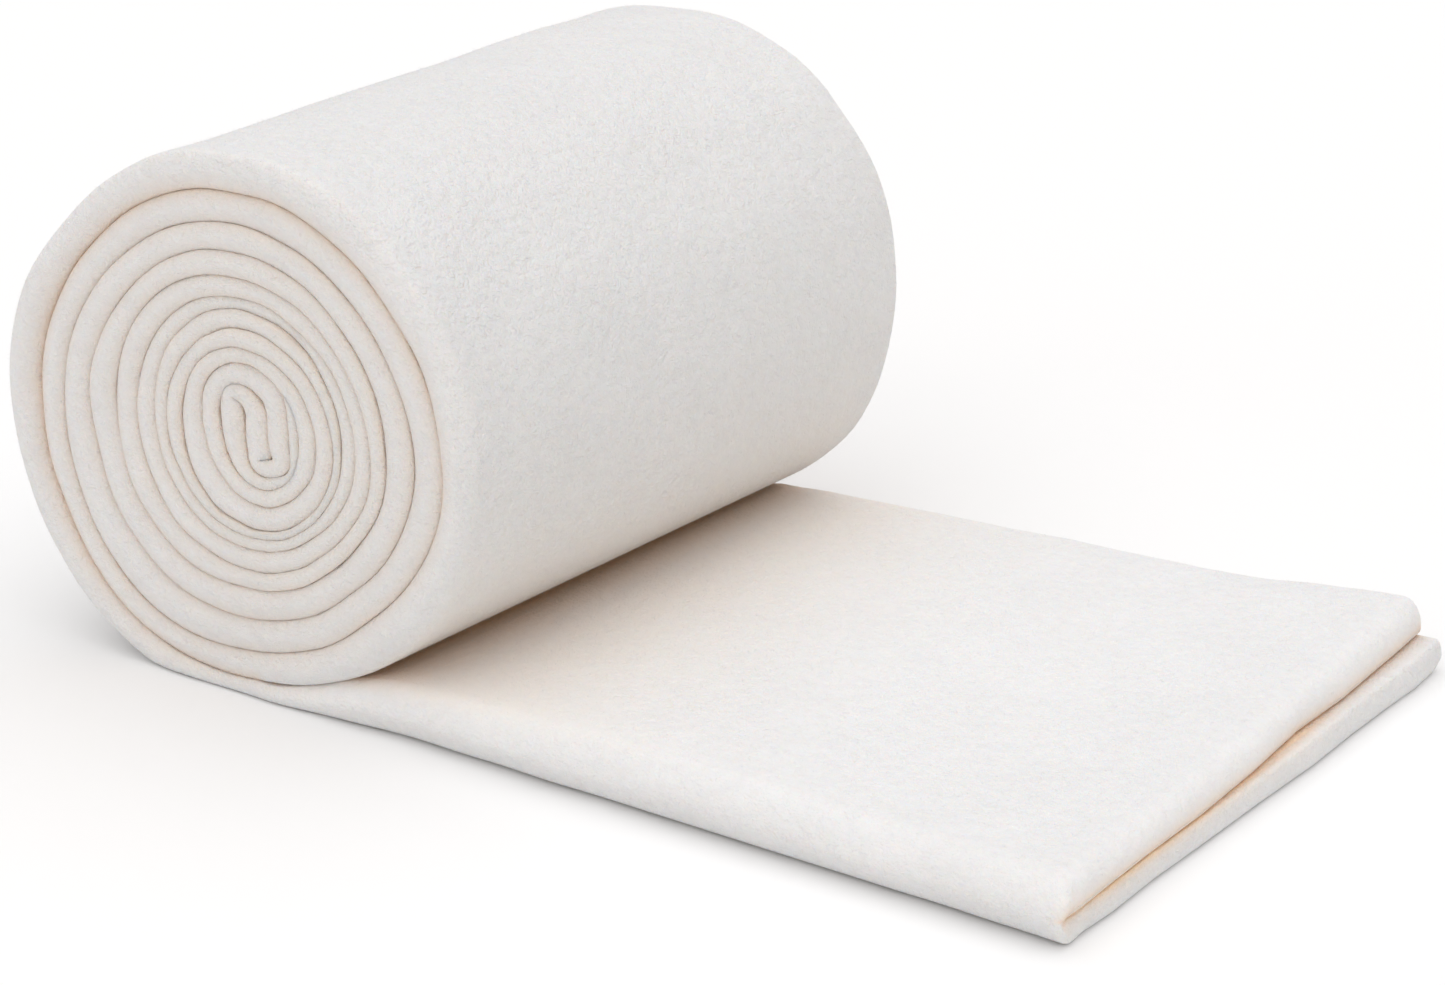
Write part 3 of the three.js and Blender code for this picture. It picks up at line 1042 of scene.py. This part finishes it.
class OBJECT_OT_add_batting_fuzz(bpy.types.Operator):
    """Add the loose fibre ends on the roll, on its folded end and on the loose end"""

    bl_idname = "object.add_batting_fuzz"
    bl_label = "Add Batting Fuzz"

    def execute(self, context):
        settings = context.scene.batting_fuzz
        sheet, face, _ = folded_sheet(context.scene.batting_sheet)
        material = bpy.data.objects["batting_sheet"].data.materials[0]
        in_fold = face[..., 1] - FOLD_SIDE < sheet.front + sheet.half * 0.7
        loose = (sheet.turns < 0) & (sheet.depth > 0.2)
        outermost = (sheet.turns > 0) & (sheet.turns < 0.95) & (sheet.depth < 0.5) & ~in_fold
        places = {
            "roll_fuzz": (outermost, settings.roll_count),
            "end_fuzz": (in_fold & (sheet.turns > 0), settings.end_count),
            "loose_fuzz": (loose & (face[..., 0] > NIP_X), settings.loose_count),
        }
        for number, (name, (chosen, count)) in enumerate(places.items()):
            generator = np.random.default_rng(settings.seed + number)
            spots, normals = surface_spots(face, chosen, count, generator)
            piece = new_object(name, fibre_mesh(name, spots, normals, settings, generator), material)
            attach(piece, "root")
        return {"FINISHED"}


class SCENE_OT_add_batting_stage(bpy.types.Operator):
    """Add the pale floor, the soft studio light and the camera"""

    bl_idname = "scene.add_batting_stage"
    bl_label = "Add Studio"

    def execute(self, context):
        settings = context.scene.batting_stage
        self.add_floor(settings)
        self.add_light(context, settings)
        self.add_camera(context, settings)
        return {"FINISHED"}

    def add_floor(self, settings):
        bpy.ops.object.select_all(action="DESELECT")
        bpy.ops.mesh.primitive_plane_add(size=settings.floor_size, location=(0, 0, -FLOOR_DROP))
        floor = bpy.context.object
        floor.name = "studio_floor"
        material = bpy.data.materials.new("pale_floor")
        material.use_nodes = True
        shader = material.node_tree.nodes["Principled BSDF"]
        white = (FLOOR_WHITE, FLOOR_WHITE, FLOOR_WHITE, 1.0)
        set_inputs(shader, Base_Color=white, Roughness=1.0, Specular_IOR_Level=0.0)
        floor.data.materials.append(material)

    def add_light(self, context, settings):
        world = bpy.data.worlds.new("studio_surroundings")
        world.use_nodes = True
        surroundings = world.node_tree.nodes["Background"]
        set_inputs(surroundings, Color=opaque(SKY_LIGHT), Strength=settings.sky_strength)
        context.scene.world = world
        self.add_sun(context, "soft_key", settings.key_strength, settings.key_azimuth,
                     settings.key_elevation, settings.key_softness, COOL_LIGHT)
        self.add_sun(context, "warm_bounce", settings.bounce_strength, settings.bounce_azimuth,
                     settings.bounce_elevation, LOW_LIGHT_SOFTNESS, WARM_LIGHT)
        self.add_sun(context, "low_fill", settings.fill_strength, settings.fill_azimuth,
                     settings.fill_elevation, LOW_LIGHT_SOFTNESS, MILD_LIGHT)
        context.scene.view_settings.view_transform = "Standard"

    def add_sun(self, context, name, strength, turn, height, softness, colour):
        light = bpy.data.lights.new(name, "SUN")
        light.angle = softness
        light.energy = strength
        light.color = colour
        sun = bpy.data.objects.new(name, light)
        back = (math.sin(turn) * math.cos(height), -math.cos(turn) * math.cos(height), math.sin(height))
        sun.rotation_euler = Vector(back).to_track_quat("Z", "Y").to_euler()
        sun.location = Vector(back)
        context.scene.collection.objects.link(sun)

    def add_camera(self, context, settings):
        data = bpy.data.cameras.new("photo_camera")
        data.lens = settings.lens
        data.sensor_width = 36.0
        camera = bpy.data.objects.new("photo_camera", data)
        camera.location = CAMERA_PLACE
        aim = Vector(CAMERA_TARGET) - camera.location
        camera.rotation_euler = aim.to_track_quat("-Z", "Y").to_euler()
        context.scene.collection.objects.link(camera)
        context.scene.camera = camera


class VIEW3D_PT_batting(bpy.types.Panel):
    """Lists the steps and their settings"""

    bl_idname = "VIEW3D_PT_batting"
    bl_label = "Quilt Batting Roll"
    bl_space_type = "VIEW_3D"
    bl_region_type = "UI"
    bl_category = "Batting"

    def draw(self, context):
        for title, group, operator in STEPS:
            box = self.layout.box()
            box.label(text=title)
            settings = getattr(context.scene, group)
            for name in settings.__annotations__:
                box.prop(settings, name)
            box.operator(operator)


STEPS = [
    ("Sheet", "batting_sheet", "object.add_batting_sheet"),
    ("Fuzz", "batting_fuzz", "object.add_batting_fuzz"),
    ("Studio", "batting_stage", "scene.add_batting_stage"),
]
SETTINGS = {
    "batting_sheet": BattingSheetSettings,
    "batting_fuzz": BattingFuzzSettings,
    "batting_stage": BattingStageSettings,
}
CLASSES = (
    BattingSheetSettings,
    BattingFuzzSettings,
    BattingStageSettings,
    OBJECT_OT_add_batting_sheet,
    OBJECT_OT_add_batting_fuzz,
    SCENE_OT_add_batting_stage,
    VIEW3D_PT_batting,
)


def register():
    for cls in CLASSES:
        bpy.utils.register_class(cls)
    for name, group in SETTINGS.items():
        setattr(bpy.types.Scene, name, bpy.props.PointerProperty(type=group))


def unregister():
    for name in SETTINGS:
        delattr(bpy.types.Scene, name)
    for cls in reversed(CLASSES):
        bpy.utils.unregister_class(cls)


def main():
    register()
    bpy.ops.object.add_batting_sheet()
    bpy.ops.object.add_batting_fuzz()
    bpy.ops.scene.add_batting_stage()


if __name__ == "__main__":
    main()
